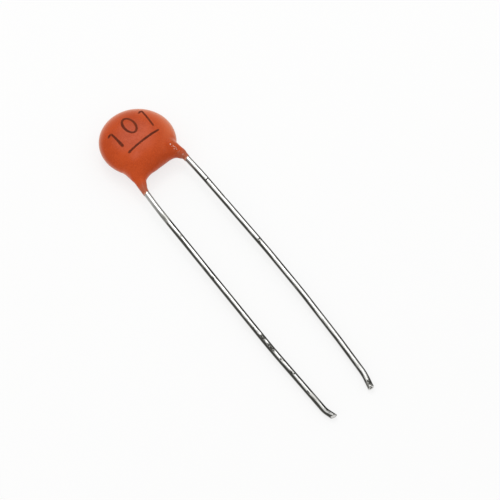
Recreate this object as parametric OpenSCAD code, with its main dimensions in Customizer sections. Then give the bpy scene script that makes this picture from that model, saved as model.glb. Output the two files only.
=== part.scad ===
// Ceramic disc capacitor with two wire leads.
// A thin ceramic disc has a silver electrode fired on each face. One tinned wire is soldered across the
// front electrode and the other across the rear one, and one orange coating is dipped over all of it and a
// little way down both wires. A value code is stamped on the front.
// The part is first built about its own axes, in millimetres: the disc's middle is the origin, +X runs
// across the leads in the reading direction of the mark, the leads run along -Y, and the mark faces +Z.
// Then it is laid down as it comes to rest, on the back of its coating and both lead tips. The finished
// part's origin is the middle of its footprint, on the surface that it lies on.

/* [Leads] */
// Distance between the leads where they leave the coating
lead_pitch = 5; // [4.4:0.1:5.8]
// How far the pair of leads sits to the +X side of the disc's middle
lead_offset = 0.06; // [-0.2:0.02:0.2]
// Diameter of the wire
wire_d = 0.55; // [0.45:0.05:0.65]
// Length of the front lead outside the coating
front_lead_l = 28.2; // [24:0.2:40]
// Length of the rear lead outside the coating
rear_lead_l = 27.5; // [24:0.1:40]
// Radius of the bends that bring each wire onto the disc
seat_bend_r = 0.8; // [0.6:0.1:1.2]
// Slant of the cut at the front lead's tip, in degrees from square
front_cut = 8; // [0:1:30]
// Slant of the cut at the rear lead's tip, in degrees from square
rear_cut = 28; // [0:1:34]

/* [Ceramic disc] */
// Diameter of the ceramic disc
ceramic_d = 5.5; // [5:0.1:6]
// Thickness of the ceramic disc
ceramic_t = 0.4; // [0.3:0.05:0.6]
// Thickness of each silver electrode
electrode_t = 0.03; // [0.02:0.01:0.06]
// Bare ring of ceramic left outside each electrode
electrode_margin = 0.35; // [0.2:0.05:0.6]

/* [Solder] */
// Film of solder between each wire and its electrode
solder_film = 0.03; // [0.02:0.01:0.06]
// Thickness of the solder round the wire
solder_wall = 0.14; // [0.1:0.02:0.2]

/* [Coating] */
// Thickness of the coating round the edge of the ceramic disc
rim_cover = 0.7; // [0.6:0.01:1]
// Thickness of the coating over the wires, at the middle of each face
face_cover = 0.47; // [0.4:0.01:0.7]
// Thickness of the coating on the wires, at the ends of its two legs
leg_cover = 0.03; // [0.03:0.01:0.08]
// How far the coating's leg on the front lead reaches past the rim of the disc
front_leg_l = 0.35; // [0.2:0.05:1]
// How far the coating's leg on the rear lead reaches past the rim of the disc
rear_leg_l = 1.4; // [0.8:0.05:2]
// How far the thin end of each leg runs on down its wire
leg_run = 0.25; // [0:0.05:0.4]

/* [Mark] */
// Height of the stamped digits
digit_h = 2; // [1.4:0.1:2.2]
// Width of the stamped zero, between the middles of its strokes
zero_w = 1.05; // [0.7:0.05:1.2]
// Width of a stamped stroke
stroke_w = 0.24; // [0.14:0.02:0.3]
// Thickness of the ink
ink_t = 0.02; // [0.01:0.01:0.04]

/* [Hidden] */
$fn = 48;

FRONT = 1;
REAR = -1;

wire_r = wire_d / 2;
ceramic_r = ceramic_d / 2;
electrode_r = ceramic_r - electrode_margin;

// Heights above the middle plane of the disc
electrode_z = ceramic_t / 2 + electrode_t;
seat_z = electrode_z + solder_film + wire_r;
coat_z = seat_z + wire_r + face_cover;
coat_r = ceramic_r + rim_cover;

// --- Wire routes -----------------------------------------------------------------------------------------

// Where each wire ends on its electrode, for the front wire
seat_end = [0.75, 0];
// Clear way between the edge of the ceramic and each of a wire's two bends there
edge_gap = 0.05;
root_gap = 0.35;
// The turn of the first of them, to be kept clear of the edge
seat_turn = 28;
// Overlap of a bend with the straights beside it, and how much fatter the bend is, so that they join as one
bend_lap = 0.03;
bend_swell = 0.002;

// Headings of the wires as they leave the coating, in degrees from -Y towards +X
front_splay = 2.3;
rear_splay = -2.9;

// Each wire outside the coating, from bend to bend: the stretch before the bend, its turn towards +X in
// degrees, and its radius. The long stretch takes up the rest of the lead's length.
front_bends_near = [[2.3, -1.9, 40], [10.1, -1.4, 60], [4.9, -1.5, 60]];
front_bends_far = [[3.9, -9.9, 6]];
front_far_turn = [-1.4, 12];
front_tip_l = 1.4;
rear_bends_near = [[2.3, 2.3, 60]];
rear_bends_far = [[7.2, 16.2, 2]];
rear_far_turn = [1.8, 60];
rear_tip_l = 0.85;

function total(list, i = 0) = i == len(list) ? 0 : list[i][0] + total(list, i + 1);

// A wire's whole list of bends outside the coating, ending in its straight tip
function lead_bends(near, far_turn, far, tip_l, length) =
    let (rest = length - total(near) - total(far) - tip_l)
    concat(near, [[rest, far_turn[0], far_turn[1]]], far, [[tip_l, 0, 0]]);

front_bends = lead_bends(front_bends_near, front_far_turn, front_bends_far, front_tip_l, front_lead_l);
rear_bends = lead_bends(rear_bends_near, rear_far_turn, rear_bends_far, rear_tip_l, rear_lead_l);

function towards(heading) = [sin(heading), -cos(heading), 0];

// The corners that a wire passes after p, when it leaves p at the given heading
function corners(p, heading, bends, i = 0) =
    i == len(bends) ? []
    : let (q = p + bends[i][0] * towards(heading))
        concat([q], corners(q, heading + bends[i][1], bends, i + 1));

// Where a wire leaves the coating
front_exit = [lead_offset + lead_pitch / 2, -coat_r - front_leg_l, 0];
rear_exit = [lead_offset - lead_pitch / 2, -coat_r - rear_leg_l, 0];

// The wire's middle at the height y inside its leg of the coating
function leg_x(exit, splay, y) = exit[0] + tan(splay) * (exit[1] - y);

// Where the wire starts to lean in over the disc, on the line of its leg
root_y = -ceramic_r - root_gap;
front_root = [leg_x(front_exit, front_splay, root_y), root_y, 0];
rear_root = [leg_x(rear_exit, rear_splay, root_y), root_y, 0];

// The point where the line from the root to the wire's end first comes within the distance r of the middle
function entry(root, end, r) =
    let (d = unit(end - root), along = -root * d)
    root + d * (along - sqrt(along ^ 2 - root * root + r ^ 2));

function unit(v) = v / norm(v);
function flat(p) = [p[0], p[1]];

// The inner end of a wire, from its end on the electrode to its root in the leg
function seat_route(root, side) =
    let (end = [side * seat_end[0], seat_end[1]])
    let (e = entry(flat(root), end, ceramic_r + edge_gap + seat_bend_r * tan(seat_turn / 2)))
    [[end[0], end[1], side * seat_z], [e[0], e[1], side * seat_z], root];

front_route = concat(seat_route(front_root, FRONT), corners(front_exit, front_splay, front_bends));
rear_route = concat(seat_route(rear_root, REAR), corners(rear_exit, rear_splay, rear_bends));
front_radii = concat([0, seat_bend_r, seat_bend_r], [for (b = front_bends) b[2]]);
rear_radii = concat([0, seat_bend_r, seat_bend_r], [for (b = rear_bends) b[2]]);
front_tip = front_route[len(front_route) - 1];
rear_tip = rear_route[len(rear_route) - 1];

// --- Round wire bent along corners -----------------------------------------------------------------------

// The turn at corner i, and how far from the corner its bend starts
function turn(pts, i) = acos(min(1, unit(pts[i] - pts[i - 1]) * unit(pts[i + 1] - pts[i])));
function setback(pts, radii, i) =
    i == 0 || i == len(pts) - 1 ? 0 : radii[i] * tan(turn(pts, i) / 2);

// Draws its children at p with their +X turned to x and their +Z to z
module place(p, x, z) {
    y = cross(z, x);
    multmatrix([[x[0], y[0], z[0], p[0]], [x[1], y[1], z[1], p[1]], [x[2], y[2], z[2], p[2]]])
        children();
}

// Any direction square to d
function across(d) = unit(cross(abs(d[2]) < 0.9 ? [0, 0, 1] : [1, 0, 0], d));

module straight(a, b, r) {
    d = unit(b - a);
    place(a, across(d), d)
        cylinder(r = r, h = norm(b - a));
}

// The bend at corner i, as part of a ring
module bend(pts, radii, r, i) {
    u = unit(pts[i] - pts[i - 1]);
    v = unit(pts[i + 1] - pts[i]);
    n = unit(cross(u, v));
    inward = cross(n, u);
    lap = bend_lap / radii[i] * 180 / PI;
    place(pts[i] - u * setback(pts, radii, i) + inward * radii[i], -inward, n)
        rotate([0, 0, -lap])
            rotate_extrude(angle = turn(pts, i) + 2 * lap)
                translate([radii[i], 0])
                    circle(r = r + bend_swell);
}

module bent_wire(pts, radii, r) {
    last = len(pts) - 1;
    for (i = [0 : last - 1]) {
        d = unit(pts[i + 1] - pts[i]);
        straight(pts[i] + d * setback(pts, radii, i), pts[i + 1] - d * setback(pts, radii, i + 1), r);
    }
    for (i = [1 : last - 1])
        bend(pts, radii, r, i);
}

// Everything beyond a tip that is cut at a slant
module beyond(tip, before, slant) {
    d = unit(tip - before);
    size = 4 * wire_d;
    translate(tip)
        rotate([0, 0, atan2(d[1], d[0]) + slant])
            translate([0, -size / 2, -size / 2])
                cube(size);
}

module cut_wire(pts, radii, slant) {
    last = len(pts) - 1;
    run_on = unit(pts[last] - pts[last - 1]) * wire_d;
    difference() {
        bent_wire([for (i = [0 : last]) i == last ? pts[i] + run_on : pts[i]], radii, wire_r);
        beyond(pts[last], pts[last - 1], slant);
    }
}

// --- Form of the coating ---------------------------------------------------------------------------------

// How flat the disc's faces are: 2 is an ellipsoid, and more is flatter with a blunter rim
crown = 3.5;
// The coating's edge between the legs, at x = 0, its rise towards +X in degrees, and its steepness
web_y = -(coat_r - 0.11);
dip_slant = 7.8;
web_slope = 1.74;
web_blend = 0.08;
// Each leg of the form widens and leans in from its end up to the disc: radius at the end, widening and
// leaning in, both growing as this power of the height above the end, and softness of the join with the disc
front_flare = [0.25, 0.32, 0.52, 1.09, 0.94];
rear_flare = [0.255, 0.18, 0.33, 0.97, 2.1];
// The height from which a leg fades out under the disc, and how blunt its lower end is
fade_y = 0.9 - coat_r;
end_bluntness = 4;
// Coating over each wire where it leans in over the rim
lean_cover = 0.09;
lean_blend = 0.5;

// The larger or the smaller of two values, rounded over where they are closer than k
function smooth_max(a, b, k) = max(a, b) + max(0, k - abs(a - b)) ^ 2 / (4 * k);
function smooth_min(a, b, k) = min(a, b) - max(0, k - abs(a - b)) ^ 2 / (4 * k);

// Each form is above zero inside, falls off with the square of the distance, and is zero on its surface
function disc_form(p) = coat_z ^ 2 * (1 - (norm([p[0], p[1]]) / coat_r) ^ crown);
function web_form(p) = web_slope * (p[1] - web_y - p[0] * tan(dip_slant));
function leg_form(p, exit, flare, side) =
    let (up = max(0, p[1] - exit[1]), past = max(0, p[1] - fade_y))
    let (r = flare[0] + flare[1] * up ^ flare[3], x = exit[0] - side * flare[2] * up ^ flare[3])
    r ^ 2 - (p[0] - x) ^ 2 - past ^ 2 - p[2] ^ 2 - end_bluntness * min(0, p[1] - exit[1]) ^ 2;
// Round bar over the stretch of wire from its seat at a to its root at b, slimmer towards the root
function lean_form(p, a, b) =
    let (t = max(0, min(1, (p - a) * (b - a) / ((b - a) * (b - a)))), away = p - a - t * (b - a))
    (wire_r + lean_cover + (leg_cover - lean_cover) * t) ^ 2 - away * away;
function form(p) =
    let (body = smooth_min(disc_form(p), web_form(p), web_blend) - p[2] ^ 2)
    let (front = smooth_max(body, leg_form(p, front_exit, front_flare, FRONT), front_flare[4]))
    let (both = smooth_max(front, leg_form(p, rear_exit, rear_flare, REAR), rear_flare[4]))
    smooth_max(smooth_max(both, lean_form(p, front_route[1], front_root), lean_blend),
        lean_form(p, rear_route[1], rear_root), lean_blend);

// --- Coating as a skin of small faces --------------------------------------------------------------------

// The skin is found in a lattice of cells that takes in the whole form. Each cell that the surface passes
// through gives one point, and each lattice line that the surface crosses joins the points of its four
// cells. The cells are small near the sides, about the legs and near the middle plane, and larger between.
small_cell = 0.15;
large_cell = 0.26;
around = 0.4;
sides_from = 1.9;
legs_up_to = -2.1;
middle_up_to = 0.7;
rows = [[-coat_r - around, -sides_from, sides_from, coat_r + around],
    [min(front_exit[1], rear_exit[1]) - around, legs_up_to, coat_r + around],
    [-coat_z - around, -middle_up_to, middle_up_to, coat_z + around]];
row_cells = [[small_cell, large_cell, small_cell],
    [small_cell, large_cell],
    [large_cell, small_cell, large_cell]];

// A row of lattice marks, evenly spaced between each stop and the next in steps of about the given cells
function marks(stops, cells) = concat(
    [for (s = [0 : len(cells) - 1])
        let (n = ceil((stops[s + 1] - stops[s]) / cells[s]))
        for (i = [0 : n - 1]) stops[s] + (stops[s + 1] - stops[s]) * i / n],
    [stops[len(stops) - 1]]);
lattice_marks = [for (axis = [0 : 2]) marks(rows[axis], row_cells[axis])];
lattice_n = [for (m = lattice_marks) len(m) - 1];

// The place in the lattice at the marks numbered by p, which may lie between marks
function lattice(p) =
    [for (axis = [0 : 2])
        let (m = lattice_marks[axis], i = min(floor(p[axis]), lattice_n[axis] - 1))
        m[i] + (m[i + 1] - m[i]) * (p[axis] - i)];
function lattice_form() =
    [for (i = [0 : lattice_n[0]]) [for (j = [0 : lattice_n[1]]) [for (k = [0 : lattice_n[2]])
        form(lattice([i, j, k]))]]];

// The corners of a cell, and the pairs of corners that its edges join
corners_of_cell = [for (i = [0, 1]) for (j = [0, 1]) for (k = [0, 1]) [i, j, k]];
edges_of_cell = [for (a = [0 : 7]) for (b = [a + 1 : 7])
    if (norm(corners_of_cell[a] - corners_of_cell[b]) == 1) [a, b]];

function sum(list, i = 0) = i == len(list) ? 0 * list[0] : list[i] + sum(list, i + 1);

// The slope of the form at p, and p moved onto the surface along it
slope_step = 0.001;
function slope(p, f) =
    [for (axis = [[1, 0, 0], [0, 1, 0], [0, 0, 1]]) (form(p + slope_step * axis) - f) / slope_step];
function onto_surface(p) =
    let (f = form(p), g = slope(p, f))
    p - g * f / (g * g);

function skin_point(cell_at, values) =
    let (found = [for (e = edges_of_cell)
        let (a = values[e[0]], b = values[e[1]])
        if ((a > 0) != (b > 0))
            corners_of_cell[e[0]] + (corners_of_cell[e[1]] - corners_of_cell[e[0]]) * a / (a - b)])
    let (middle = cell_at + sum(found) / len(found))
    onto_surface(lattice(middle));

module skin() {
    f = lattice_form();
    n = lattice_n;
    function above(i, j, k) = f[i][j][k] > 0;
    crossed = [for (i = [0 : n[0] - 1]) for (j = [0 : n[1] - 1]) for (k = [0 : n[2] - 1])
        let (a = above(i, j, k))
        a == above(i, j, k + 1) && a == above(i, j + 1, k) && a == above(i, j + 1, k + 1)
            && a == above(i + 1, j, k) && a == above(i + 1, j, k + 1) && a == above(i + 1, j + 1, k)
            && a == above(i + 1, j + 1, k + 1) ? 0 : 1];
    places = [for (c = 0, place = 0; c < len(crossed); place = place + crossed[c], c = c + 1) place];
    function at(i, j, k) = places[(i * n[1] + j) * n[2] + k];
    points = [for (i = [0 : n[0] - 1]) for (j = [0 : n[1] - 1]) for (k = [0 : n[2] - 1])
        if (crossed[(i * n[1] + j) * n[2] + k] == 1)
            skin_point([i, j, k], [for (c = corners_of_cell) f[i + c[0]][j + c[1]][k + c[2]]])];
    function quad(out, a, b, c, d) = out ? [[a, b, c], [a, c, d]] : [[a, c, b], [a, d, c]];
    faces = [for (i = [1 : n[0] - 1]) for (j = [1 : n[1] - 1]) for (k = [1 : n[2] - 1])
        let (a = above(i, j, k))
        each concat(
            a == above(i + 1, j, k) ? []
                : quad(a, at(i, j - 1, k - 1), at(i, j - 1, k), at(i, j, k), at(i, j, k - 1)),
            a == above(i, j + 1, k) ? []
                : quad(a, at(i - 1, j, k - 1), at(i, j, k - 1), at(i, j, k), at(i - 1, j, k)),
            a == above(i, j, k + 1) ? []
                : quad(a, at(i - 1, j - 1, k), at(i - 1, j, k), at(i, j, k), at(i, j - 1, k)))];
    polyhedron(points, faces, convexity = 6);
}

// --- How the part comes to rest --------------------------------------------------------------------------

// It lies on both tips, so it tips about the line through them until the back of the disc touches too
tip_line = unit(front_tip - rear_tip);
function up_when_tipped(a) = [-tip_line[1] * sin(a), tip_line[0] * sin(a), cos(a)];
back_steps = 100;
back_of_disc = [for (i = [0 : back_steps])
    let (p = coat_r / 2 * i / back_steps * [tip_line[1], -tip_line[0], 0])
    [p[0], p[1], -sqrt(form(p))]];
function clearance(a) =
    let (up = up_when_tipped(a))
    min([for (p = back_of_disc) p * up]) - front_tip * up + wire_r;
// It tips by less than this, in degrees, and the search halves what is left at each step
steepest = 12;
search_steps = 24;
function rest_search(low, high, i = 0) =
    let (m = (low + high) / 2)
    i == search_steps ? m
    : clearance(m) < 0 ? rest_search(m, high, i + 1) : rest_search(low, m, i + 1);

rest_tilt = rest_search(0, steepest);
rest_lift = wire_r - front_tip * up_when_tipped(rest_tilt);
footprint_y = (coat_r + min(front_tip[1], rear_tip[1])) / 2;

module at_rest() {
    translate([0, -footprint_y, rest_lift])
        rotate(a = rest_tilt, v = tip_line)
            children();
}

// --- Pieces ----------------------------------------------------------------------------------------------

module ceramic_disc() {
    color("#cfc6b4")
        cylinder(r = ceramic_r, h = ceramic_t, center = true);
}

module electrode(side) {
    color("#b9bcbf")
        translate([0, 0, side > 0 ? ceramic_t / 2 : -electrode_z])
            cylinder(r = electrode_r, h = electrode_t);
}

module front_lead() {
    color("#c8cacc")
        cut_wire(front_route, front_radii, front_cut);
}

module rear_lead() {
    color("#c8cacc")
        cut_wire(rear_route, rear_radii, -rear_cut);
}

// The stretch of each wire that the coating holds, run on a little way outside
module inner_wire(route) {
    bent_wire([for (i = [0 : 3]) route[i]], [0, seat_bend_r, seat_bend_r, 0], wire_r);
}

// Round-ended bar of solder that each wire lies in, along the wire's seat
solder_inset = 0.45;
module solder_bar(route) {
    r = wire_r + solder_wall;
    d = unit(route[0] - route[1]);
    length = norm(route[0] - route[1]) - solder_inset - wire_r;
    place(route[1] + d * solder_inset, across(d), d) {
        cylinder(r = r, h = length);
        sphere(r);
        translate([0, 0, length])
            sphere(r);
    }
}

module solder(route, side) {
    room = 2 * ceramic_d;
    color("#a3a7aa")
        difference() {
            solder_bar(route);
            inner_wire(route);
            translate([0, 0, side * (electrode_z - room / 2)])
                cube(room, center = true);
        }
}

module leg_end(root, exit) {
    straight(root, exit + leg_run * unit(exit - root), wire_r + leg_cover);
}

module coating() {
    color("#c8512b")
        difference() {
            union() {
                skin();
                leg_end(front_root, front_exit);
                leg_end(rear_root, rear_exit);
            }
            cylinder(r = ceramic_r, h = ceramic_t, center = true);
            cylinder(r = electrode_r, h = 2 * electrode_z, center = true);
            solder_bar(front_route);
            solder_bar(rear_route);
            inner_wire(front_route);
            inner_wire(rear_route);
        }
}

// --- Printed mark ----------------------------------------------------------------------------------------

// The foot of each digit in plan, with the lean and the share of the full height of the first and last,
// as the stamp landed
first_foot = [-1.75, -0.46];
first_lean = -0.05;
first_share = 0.92;
zero_foot = [-0.07, 0.15];
last_foot = [1.68, -0.1];
last_lean = 0.06;
last_share = 1.07;
flag = [-0.45, -0.2];
// The line under the digits, and how far it bows up at its middle
underline = [[-1.75, -1.25], [1.86, -0.68]];
underline_bow = 0.08;
// Lengths that each stroke is made of
flag_steps = 2;
stem_steps = 8;
zero_steps = 28;
line_steps = 10;
// Strips that a stroke is made of side by side, and how narrow it is at its ends
cols = 4;
end_share = 0.6;
// How far a sharp corner of a stroke is blunted, from 0 to 1
blunting = 0.75;
// The hair's breadth that keeps the ink outside the small faces of the coating
ink_clear = 0.01;

// The underside of the ink at a point in plan
function ink_z(x, y) = sqrt(form([x, y, 0])) + ink_clear;

// The direction of a path from its point i to the next one
function heading(path, i, closed) =
    let (n = len(path), j = closed ? (i + n) % n : max(0, min(i, n - 2)))
    unit(path[(j + 1) % n] - path[j]);

// The direction square to a path at its point i, longer at a corner so that the stroke keeps its width there,
// and held back at a sharp one so that the stroke's corner comes out blunt
function path_normal(path, i, closed) =
    let (ahead = heading(path, i, closed), t = unit(heading(path, i - 1, closed) + ahead))
    [-t[1], t[0]] / max(blunting, t * ahead);

// Points along a straight stroke
function between(a, b, n) = [for (i = [0 : n]) a + (b - a) * i / n];

// A stroke of ink that follows the front of the coating
module stroke(path, closed = false) {
    n = len(path);
    points = [for (i = [0 : n - 1])
        let (across = path_normal(path, i, closed))
        let (half = stroke_w / 2 * (!closed && (i == 0 || i == n - 1) ? end_share : 1))
        for (level = [ink_t, 0]) for (c = [0 : cols])
            let (p = path[i] + across * half * (2 * c / cols - 1))
            [p[0], p[1], ink_z(p[0], p[1]) + level]];
    function top(i, c) = (i % n) * 2 * (cols + 1) + c;
    function low(i, c) = top(i, c) + cols + 1;
    faces = concat(
        [for (i = [0 : closed ? n - 1 : n - 2]) each concat(
            [for (c = [0 : cols - 1]) each [
                [top(i, c), top(i, c + 1), top(i + 1, c)],
                [top(i, c + 1), top(i + 1, c + 1), top(i + 1, c)],
                [low(i, c), low(i + 1, c), low(i, c + 1)],
                [low(i, c + 1), low(i + 1, c), low(i + 1, c + 1)]]],
            [[top(i, 0), top(i + 1, 0), low(i + 1, 0)], [top(i, 0), low(i + 1, 0), low(i, 0)],
                [top(i, cols), low(i + 1, cols), top(i + 1, cols)],
                [top(i, cols), low(i, cols), low(i + 1, cols)]])],
        closed ? [] : [
            concat([for (c = [0 : cols]) low(0, c)], [for (c = [cols : -1 : 0]) top(0, c)]),
            concat([for (c = [0 : cols]) top(n - 1, c)], [for (c = [cols : -1 : 0]) low(n - 1, c)])]);
    polyhedron(points, faces, convexity = 4);
}

module one(foot, lean, share) {
    apex = foot + share * digit_h * [lean, 1];
    stem = between(apex, foot, stem_steps);
    stroke(concat(between(apex + flag, apex, flag_steps), [for (i = [1 : stem_steps]) stem[i]]));
}

module zero(foot) {
    tall = digit_h - stroke_w;
    stroke([for (i = [0 : zero_steps - 1])
        let (a = 360 * i / zero_steps)
        foot + [zero_w / 2 * cos(a), stroke_w / 2 + tall / 2 * (1 + sin(a))]], closed = true);
}

module printed_mark() {
    line = between(underline[0], underline[1], line_steps);
    color("#4a1d12") {
        one(first_foot, first_lean, first_share);
        zero(zero_foot);
        one(last_foot, last_lean, last_share);
        stroke([for (i = [0 : line_steps]) line[i] + [0, underline_bow * sin(180 * i / line_steps)]]);
    }
}

at_rest() coating();
at_rest() ceramic_disc();
at_rest() electrode(FRONT);  // front_electrode
at_rest() electrode(REAR);  // rear_electrode
at_rest() solder(front_route, FRONT);  // front_solder
at_rest() solder(rear_route, REAR);  // rear_solder
at_rest() front_lead();
at_rest() rear_lead();
at_rest() printed_mark();
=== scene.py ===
import math

import bpy
import numpy as np
from mathutils import Matrix, Vector


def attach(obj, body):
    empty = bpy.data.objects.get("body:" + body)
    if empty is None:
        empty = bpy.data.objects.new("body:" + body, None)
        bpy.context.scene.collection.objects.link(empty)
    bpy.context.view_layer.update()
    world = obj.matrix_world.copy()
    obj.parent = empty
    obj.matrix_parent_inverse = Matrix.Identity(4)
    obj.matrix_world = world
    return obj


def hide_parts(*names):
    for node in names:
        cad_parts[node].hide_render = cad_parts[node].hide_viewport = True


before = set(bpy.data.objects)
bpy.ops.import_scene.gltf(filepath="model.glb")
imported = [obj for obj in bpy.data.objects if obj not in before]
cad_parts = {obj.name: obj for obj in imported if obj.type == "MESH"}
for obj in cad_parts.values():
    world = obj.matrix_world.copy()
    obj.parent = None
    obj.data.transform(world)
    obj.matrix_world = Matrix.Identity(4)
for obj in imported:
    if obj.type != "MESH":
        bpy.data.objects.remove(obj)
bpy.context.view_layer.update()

# Lengths below are in millimetres about the part's own axes, as it is made: the disc's middle is the
# origin, +X runs across the leads, the leads run along -Y and the mark faces +Z. MM turns them into
# metres.
MM = 0.001

# --- How the part lies -----------------------------------------------------------------------------------

# It is laid down by a tilt about the line through both lead tips, and then by a move
TIPS = {"front": Vector((1.7938, -31.9424, 0)), "rear": Vector((-2.331, -32.3056, 0))}
TIP_LINE = (TIPS["front"] - TIPS["rear"]).normalized()
REST_TILT = math.radians(1.84251)
REST_MOVE = Vector((0, 14.4278, 1.30312))
TO_REST = Matrix.Translation(REST_MOVE) @ Matrix.Rotation(REST_TILT, 4, TIP_LINE)


def at_rest(points):
    """Points about the part's own axes, laid down as the part lies, in metres."""
    turn = np.array(TO_REST.to_3x3())
    return (np.asarray(points, float) @ turn.T + np.array(REST_MOVE)) * MM


# --- Wires -----------------------------------------------------------------------------------------------

WIRE_R = 0.275
CERAMIC_R = 2.75
# Where a wire ends on its electrode: how far from the disc's middle line, and how high
SEAT_X = 0.75
SEAT_Z = 0.535
# The bend that brings a wire onto its electrode, and its space to the ceramic's edge
SEAT_BEND_R = 0.8
SEAT_TURN = math.radians(28)
BEND_SPACE = 0.05
# Where a wire comes down to the level of the disc's middle
ROOT_Y = -3.1

# Where each wire leaves the coating, its heading there in degrees from -Y towards +X, its side of the
# disc, and its bends outside: the stretch before the bend, its turn in degrees, and its radius
LEADS = {
    "front": {
        "exit": (2.56, -3.8), "splay": 2.3, "side": 1, "length": 28.2, "cut": 8,
        "near": [(2.3, -1.9, 40), (10.1, -1.4, 60), (4.9, -1.5, 60)],
        "far_turn": (-1.4, 12), "far": [(3.9, -9.9, 6)], "tip": 1.4,
    },
    "rear": {
        "exit": (-2.44, -4.85), "splay": -2.9, "side": -1, "length": 27.5, "cut": -28,
        "near": [(2.3, 2.3, 60)],
        "far_turn": (1.8, 60), "far": [(7.2, 16.2, 2)], "tip": 0.85,
    },
}


def towards(heading):
    """The direction in plan at a heading in degrees."""
    a = math.radians(heading)
    return np.array((math.sin(a), -math.cos(a), 0.0))


def seat_corners(lead):
    """The wire's end on the electrode, its corner over the disc's edge, and its root in the leg."""
    x, y = lead["exit"]
    root = np.array((x + math.tan(math.radians(lead["splay"])) * (y - ROOT_Y), ROOT_Y, 0))
    end = np.array((SEAT_X * lead["side"], 0, lead["side"] * SEAT_Z))
    way = (end - root)[:2] / np.linalg.norm((end - root)[:2])
    reach = CERAMIC_R + BEND_SPACE + SEAT_BEND_R * math.tan(SEAT_TURN / 2)
    past = -root[:2] @ way
    over = root[:2] + way * (past - math.sqrt(past ** 2 - root @ root + reach ** 2))
    return [end, np.array((*over, end[2])), root]


def lead_corners(lead):
    """All corners of a wire, with the radius of the bend at each."""
    points = seat_corners(lead)
    radii = [0, SEAT_BEND_R, SEAT_BEND_R]
    long_stretch = lead["length"] - sum(b[0] for b in lead["near"] + lead["far"]) - lead["tip"]
    bends = lead["near"] + [(long_stretch, *lead["far_turn"])] + lead["far"] + [(lead["tip"], 0, 0)]
    at = np.array((*lead["exit"], 0.0))
    heading = lead["splay"]
    for stretch, turn, radius in bends:
        at = at + stretch * towards(heading)
        heading += turn
        points.append(at)
        radii.append(radius)
    return points, radii


def rounded_path(points, radii, step):
    """Points close together along the corners, with each corner turned into its bend."""
    path = [points[0]]
    for i in range(1, len(points) - 1):
        before = points[i - 1] - points[i]
        after = points[i + 1] - points[i]
        u = before / np.linalg.norm(before)
        v = after / np.linalg.norm(after)
        turn = math.pi - math.acos(np.clip(u @ v, -1, 1))
        setback = radii[i] * math.tan(turn / 2)
        middle = points[i] + (u + v) / np.linalg.norm(u + v) * radii[i] / math.cos(turn / 2)
        start = points[i] + u * setback - middle
        finish = points[i] + v * setback - middle
        pieces = max(2, round(radii[i] * turn / step))
        for k in range(pieces + 1):
            t = k / pieces
            arc = math.sin((1 - t) * turn) * start + math.sin(t * turn) * finish
            path.append(middle + arc / math.sin(turn))
    path.append(points[-1])
    even = [path[0]]
    for a, b in zip(path, path[1:]):
        count = max(1, math.ceil(np.linalg.norm(b - a) / step))
        even += [a + (b - a) * k / count for k in range(1, count + 1)]
    return np.array(even)


for lead in LEADS.values():
    lead["corners"], lead["radii"] = lead_corners(lead)


# --- Form of the coating ---------------------------------------------------------------------------------

# The disc: its radius, half its thickness, and how full its dome is
COAT_R = 3.45
COAT_Z = 1.28
CROWN = 3.5
# The edge between the legs: how far it lies inside the disc's rim, its slant, its steepness and softness
WEB_INSET = 0.11
DIP_SLANT = math.tan(math.radians(7.8))
WEB_SLOPE = 1.74
WEB_BLEND = 0.08
# How far inside the rim the legs come to nothing, and how blunt they end
FADE_INSET = 0.9
END_BLUNTNESS = 4
# Cover over each wire at the disc's edge and on the leg, and how softly these join the rest
LEAN_COVER = 0.09
LEG_COVER = 0.03
LEAN_BLEND = 0.5
LEG_BLEND = 0.06
# How far the thin end of each leg runs on down its wire, and how its edge is cut off and rounded
LEG_RUN = 0.25
EDGE_SLOPE = 0.7
EDGE_BLEND = 0.02
# The waves in that edge: how tall, how many go round the wire, and where they start
EDGE_WAVES = ((0.08, 1, math.pi / 2), (0.03, 2, 1), (0.02, 5, 0))
# Each leg: radius at its end, widening, leaning in, their power, and softness of its join with the disc
FLARES = {"front": (0.25, 0.32, 0.52, 1.09, 0.94), "rear": (0.255, 0.18, 0.33, 0.97, 2.1)}

SLOPE_STEP = 1e-4
LEAST_SLOPE = 1e-6
SETTLING_ROUNDS = 3


def smooth_max(a, b, k):
    return np.maximum(a, b) + np.maximum(0, k - np.abs(a - b)) ** 2 / (4 * k)


def smooth_min(a, b, k):
    return np.minimum(a, b) - np.maximum(0, k - np.abs(a - b)) ** 2 / (4 * k)


def away_from(p, a, b):
    """Square of the distance from the stretch a to b, and how far along it, from 0 to 1."""
    t = np.clip((p - a) @ (b - a) / ((b - a) @ (b - a)), 0, 1)
    off = p - a - t[..., None] * (b - a)
    return (off ** 2).sum(-1), t


def leg_form(p, lead, flare):
    """The wide part of a leg, which grows out of the disc."""
    x0, y0 = lead["exit"]
    end_r, widening, leaning, power, _ = flare
    up = np.maximum(0, p[..., 1] - y0) ** power
    past = np.maximum(0, p[..., 1] + COAT_R - FADE_INSET)
    r = end_r + widening * up
    x = x0 - lead["side"] * leaning * up
    below = np.minimum(0, p[..., 1] - y0)
    return r ** 2 - (p[..., 0] - x) ** 2 - past ** 2 - p[..., 2] ** 2 - END_BLUNTNESS * below ** 2


def lean_form(p, lead):
    """The coating over the stretch of wire that leans from the electrode down to the leg."""
    a, b = lead["corners"][1], lead["corners"][2]
    gap, t = away_from(p, a, b)
    return (WIRE_R + LEAN_COVER + (LEG_COVER - LEAN_COVER) * t) ** 2 - gap


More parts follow.
